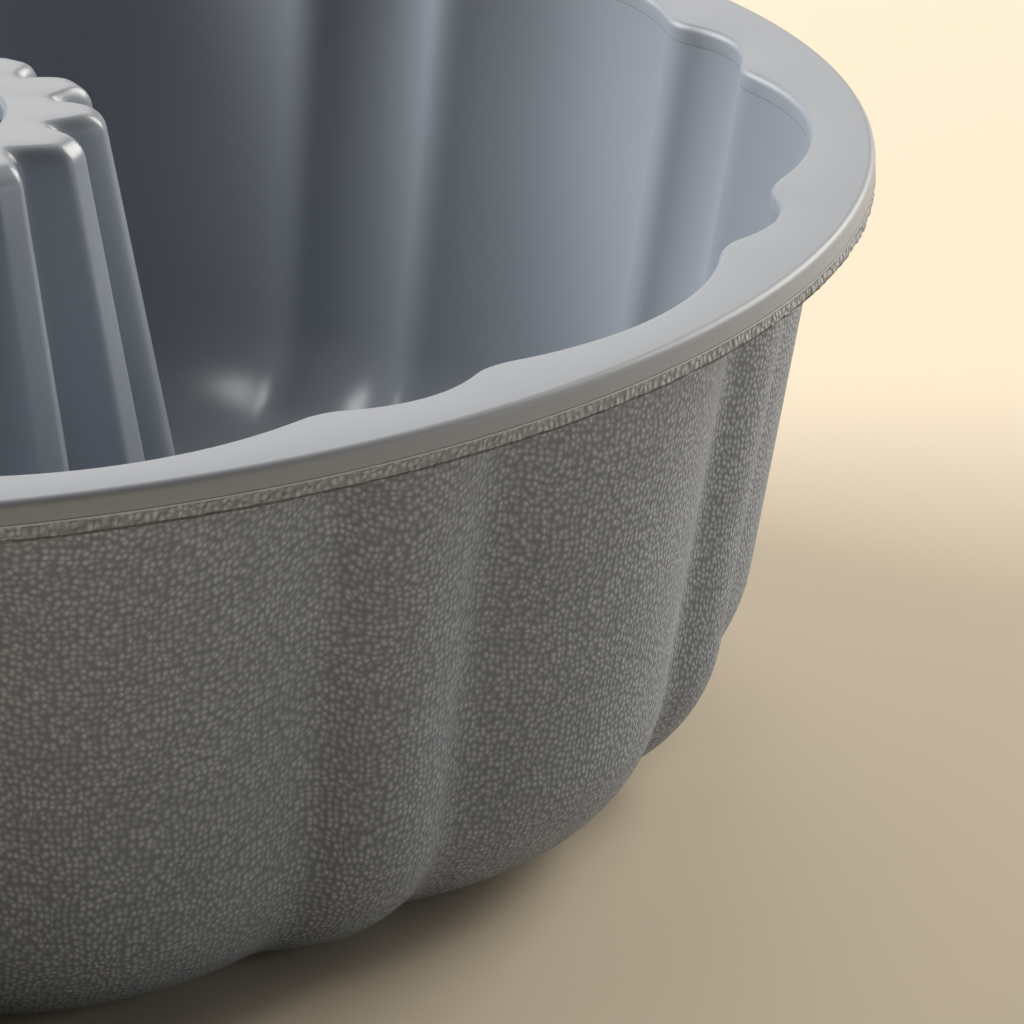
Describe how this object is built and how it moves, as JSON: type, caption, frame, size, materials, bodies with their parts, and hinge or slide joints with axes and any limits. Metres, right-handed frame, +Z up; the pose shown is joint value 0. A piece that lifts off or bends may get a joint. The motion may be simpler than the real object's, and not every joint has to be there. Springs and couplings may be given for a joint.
{
  "type": "fluted tube pan",
  "caption": "Round fluted cake pan in moulded silicone with a channelled, open-topped centre tube, a flat smooth rim and a steel hoop hidden inside the rim.",
  "frame": {"origin": "centre of the pan's base, on the surface that it stands on", "axes": "+Z up along the centre tube's axis, +X through the crown of a wide flute"},
  "size_m": [0.25, 0.25, 0.077],
  "materials": {
    "silicone_body": "satin inside, fine pebble grain outside",
    "silicone_rim": "smooth satin",
    "hoop_steel": "plain rolled strip"
  },
  "bodies": {
    "root": {"body": "silicone_body", "rim_cap": "silicone_rim", "rim_hoop": "hoop_steel"}
  },
  "joints": []
}
